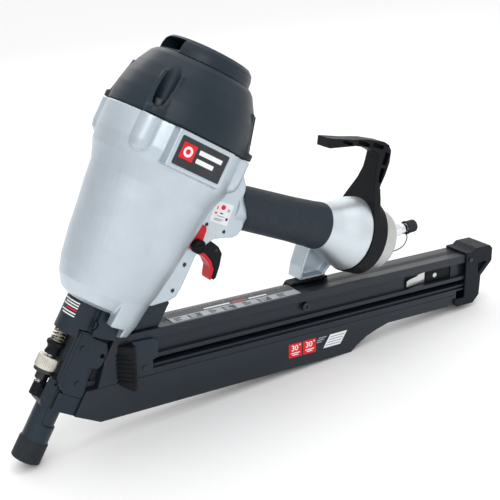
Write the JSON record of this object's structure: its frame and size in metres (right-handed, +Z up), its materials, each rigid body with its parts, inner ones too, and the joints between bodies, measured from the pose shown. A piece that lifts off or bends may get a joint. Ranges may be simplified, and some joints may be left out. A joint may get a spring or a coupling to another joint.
{
  "type": "pneumatic nail gun",
  "caption": "Pneumatic framing nailer with a tapered barrel, angled strip magazine, bulbous handle end, rafter hook, depth wheel and trigger mode selector.",
  "frame": {"origin": "centre of the bounding box at its base: the plane that the nose tip's rim and the magazine's heel stand on", "axes": "+X from the nose towards the rear end of the magazine, +Y to the tool's far side, +Z up; the driver axis leans 35.09 degrees from +Z towards +X"},
  "size_m": [0.5722, 0.1384, 0.3597],
  "materials": {
    "silver_paint": "satin",
    "grip_rubber": "matt, finely ribbed",
    "dark_plate": "satin",
    "white_label": "satin",
    "red_label": "satin",
    "charcoal_paint": "satin, fine texture",
    "charcoal_plastic": "fine texture",
    "black_plastic": "fine texture",
    "black_rubber": "matt",
    "urethane": "matt",
    "red_plastic": "satin",
    "black_steel": "black oxide",
    "bright_steel": "ground",
    "spring_steel": "drawn wire",
    "brassy_spring": "plated wire",
    "cast_aluminium": "bead blasted",
    "valve_brass": "machined",
    "wheel_steel": "nickel plated, knurled",
    "plug_chrome": "plated"
  },
  "bodies": {
    "root": {"housing": "silver_paint", "handle_grip": "grip_rubber", "nameplate": "dark_plate", "mode_label": "white_label", "cap": "charcoal_paint", "cap_gasket": "black_rubber", "cap_bolts": "black_steel", "deflector_bolt": "bright_steel", "cylinder_sleeve": "bright_steel", "sleeve_seals": "black_rubber", "bumper": "urethane", "head_valve_spring": "spring_steel", "valve_body": "valve_brass", "valve_spring": "spring_steel", "valve_pins": "black_steel", "nose_body": "charcoal_paint", "nose_bolts": "black_steel", "nose_tube": "bright_steel", "nose_covers": "charcoal_paint", "cover_screws": "black_steel", "contact_spring": "brassy_spring", "magazine_rail": "charcoal_paint", "magazine_cover": "charcoal_paint", "magazine_end_cap": "charcoal_plastic", "end_cap_screws": "black_steel", "magazine_bolt": "black_steel", "magazine_foot": "black_plastic", "nail_catch": "bright_steel", "catch_rivets": "bright_steel", "ruler_label": "white_label", "angle_labels": "red_label", "handle_end_cap": "cast_aluminium", "end_cap_seal": "black_rubber", "air_plug": "plug_chrome", "cap_tether": "black_rubber"},
    "deflector": {"exhaust_deflector": "charcoal_plastic"},
    "head_valve": {"head_valve": "cast_aluminium"},
    "driver": {"piston": "cast_aluminium", "piston_ring": "black_rubber", "driver_blade": "bright_steel"},
    "trigger": {"trigger_body": "black_plastic", "trigger_pad": "red_plastic", "trigger_lever": "bright_steel", "trigger_lever_pin": "bright_steel"},
    "valve_stem": {"valve_stem": "bright_steel"},
    "selector": {"trigger_pivot": "bright_steel", "selector_lever": "red_plastic", "selector_knob": "black_plastic"},
    "contact_arm": {"contact_stud": "bright_steel", "adjuster_spool": "black_plastic"},
    "depth_wheel": {"depth_wheel": "wheel_steel"},
    "foot": {"contact_foot": "charcoal_paint", "foot_block": "black_plastic", "foot_pin": "bright_steel", "no_mar_tip": "black_rubber"},
    "pusher": {"pusher": "charcoal_plastic", "pusher_grip": "black_plastic", "pusher_screw": "black_steel"},
    "rafter_hook": {"rafter_hook": "black_plastic"},
    "dust_cap": {"dust_cap": "black_rubber"}
  },
  "joints": [
    {"name": "exhaust_turn", "type": "hinge", "parent": "root", "child": "deflector", "pos_m": [-0.05192, 0, 0.32524], "axis": [0.5749, 0, 0.8182], "continuous": true},
    {"name": "head_valve_lift", "type": "slide", "parent": "root", "child": "head_valve", "axis": [0.5749, 0, 0.8182], "range_m": [0, 0.004], "stiffness_N_per_m": 800, "springref_m": -0.005, "deforming": ["head_valve_spring"]},
    {"name": "driver_stroke", "type": "slide", "parent": "root", "child": "driver", "axis": [-0.5749, 0, -0.8182], "range_m": [0, 0.106]},
    {"name": "trigger_pull", "type": "hinge", "parent": "root", "child": "trigger", "pos_m": [-0.08762, 0, 0.17042], "axis": [0, -1, 0], "range_deg": [0, 10], "stiffness_Nm_per_rad": 0.06, "springref_deg": -11.46},
    {"name": "valve_stem_slide", "type": "slide", "parent": "root", "child": "valve_stem", "axis": [0.4336, 0, 0.9011], "range_m": [0, 0.0036], "deforming": ["valve_spring"]},
    {"name": "selector_turn", "type": "hinge", "parent": "root", "child": "selector", "pos_m": [-0.08762, -0.015, 0.17042], "axis": [0, 1, 0], "range_deg": [0, 50]},
    {"name": "contact_arm_slide", "type": "slide", "parent": "root", "child": "contact_arm", "axis": [0.5749, 0, 0.8182], "range_m": [0, 0.011], "stiffness_N_per_m": 250, "springref_m": -0.008, "deforming": ["contact_spring"]},
    {"name": "depth_wheel_turn", "type": "hinge", "parent": "contact_arm", "child": "depth_wheel", "pos_m": [-0.23912, 0, 0.09465], "axis": [0.5749, 0, 0.8182], "range_deg": [-360, 360]},
    {"name": "foot_depth", "type": "slide", "parent": "contact_arm", "child": "foot", "axis": [0.5749, 0, 0.8182], "range_m": [-0.002, 0.002]},
    {"name": "pusher_slide", "type": "slide", "parent": "root", "child": "pusher", "axis": [0.996, 0, -0.0888], "range_m": [0, 0.3], "stiffness_N_per_m": 2, "springref_m": -0.4},
    {"name": "hook_swing", "type": "hinge", "parent": "root", "child": "rafter_hook", "pos_m": [0.10963, 0, 0.12209], "axis": [0.9011, 0, -0.4336], "range_deg": [-100, 100]},
    {"name": "dust_cap_pull", "type": "slide", "parent": "root", "child": "dust_cap", "axis": [0.9997, 0, -0.0226], "range_m": [0, 0.018]}
  ],
  "couplings": [
    {"joint": "valve_stem_slide", "follows": "trigger_pull", "m_per_rad": 0.02},
    {"joint": "depth_wheel_turn", "follows": "foot_depth", "rad_per_m": 3141.6}
  ]
}
